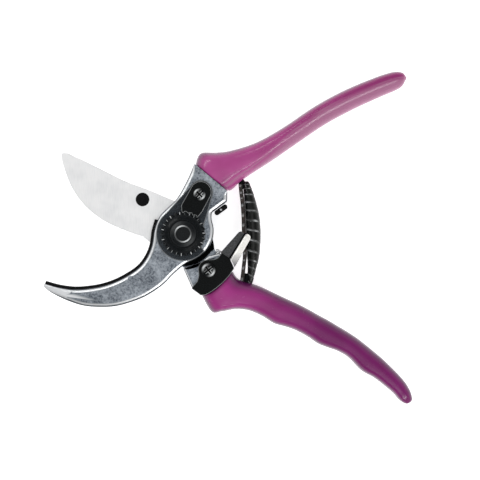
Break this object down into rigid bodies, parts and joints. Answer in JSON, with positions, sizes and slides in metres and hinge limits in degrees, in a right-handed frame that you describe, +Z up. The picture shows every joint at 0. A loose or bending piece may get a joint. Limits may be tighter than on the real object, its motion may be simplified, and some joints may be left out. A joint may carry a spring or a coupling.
{
  "type": "bypass pruning shears",
  "caption": "Bypass pruning shears with a curved hook, a thin cutting blade, two dipped grips, a bowed spring and a thumb catch, held open.",
  "frame": {"origin": "pivot axis where it meets the flat underside of the pivot bolt's head, on the surface that the shears lie on", "axes": "+X from the jaws to the handles, +Y to the hook side's grip, +Z up along the pivot axis to the adjusting nut"},
  "size_m": [0.1838, 0.1661, 0.0236],
  "materials": {
    "forged_aluminium": "forged and tumbled, polished rims",
    "counter_steel": "hardened, dark edge",
    "blade_steel": "ground satin",
    "rivet_steel": "plain",
    "black_steel": "blackened, satin",
    "spring_steel": "blackened, glossy",
    "bearing_bronze": "plain",
    "black_rubber": "moulded",
    "black_plastic": "moulded",
    "vinyl_upper": "dipped vinyl, magenta",
    "vinyl_lower": "dipped vinyl, magenta"
  },
  "bodies": {
    "hook_side": {"hook_handle": "forged_aluminium", "counter_blade": "counter_steel", "counter_rivet_rear": "rivet_steel", "counter_rivet_front": "rivet_steel", "upper_grip": "vinyl_upper", "bumper_pad": "black_rubber", "bumper_pin": "rivet_steel", "pivot_bolt": "black_steel", "cover_plate": "black_steel", "toothed_nut": "black_steel", "locking_segment": "black_steel", "segment_screw": "black_steel", "upper_spring_peg": "rivet_steel", "volute_spring": "spring_steel"},
    "blade_side": {"blade_handle": "forged_aluminium", "cutting_blade": "blade_steel", "blade_stud": "black_plastic", "blade_rivet_lower": "rivet_steel", "blade_rivet_left": "rivet_steel", "pivot_bushing": "bearing_bronze", "pivot_washer": "black_plastic", "lower_grip": "vinyl_lower", "strike_stud": "rivet_steel", "lower_spring_peg": "rivet_steel", "catch_screw": "black_steel", "catch_spring_washer": "black_steel"},
    "catch": {"thumb_catch": "black_steel"}
  },
  "joints": [
    {"name": "jaw_pivot", "type": "hinge", "parent": "hook_side", "child": "blade_side", "pos_m": [0, 0, 0.009], "axis": [0, 0, 1], "range_deg": [0, 53], "stiffness_Nm_per_rad": 0.75, "springref_deg": -22.92, "deforming": ["volute_spring"]},
    {"name": "catch_turn", "type": "hinge", "parent": "blade_side", "child": "catch", "pos_m": [0.0125, -0.0178, 0.019], "axis": [0, 0, 1], "range_deg": [-28, 0]}
  ]
}
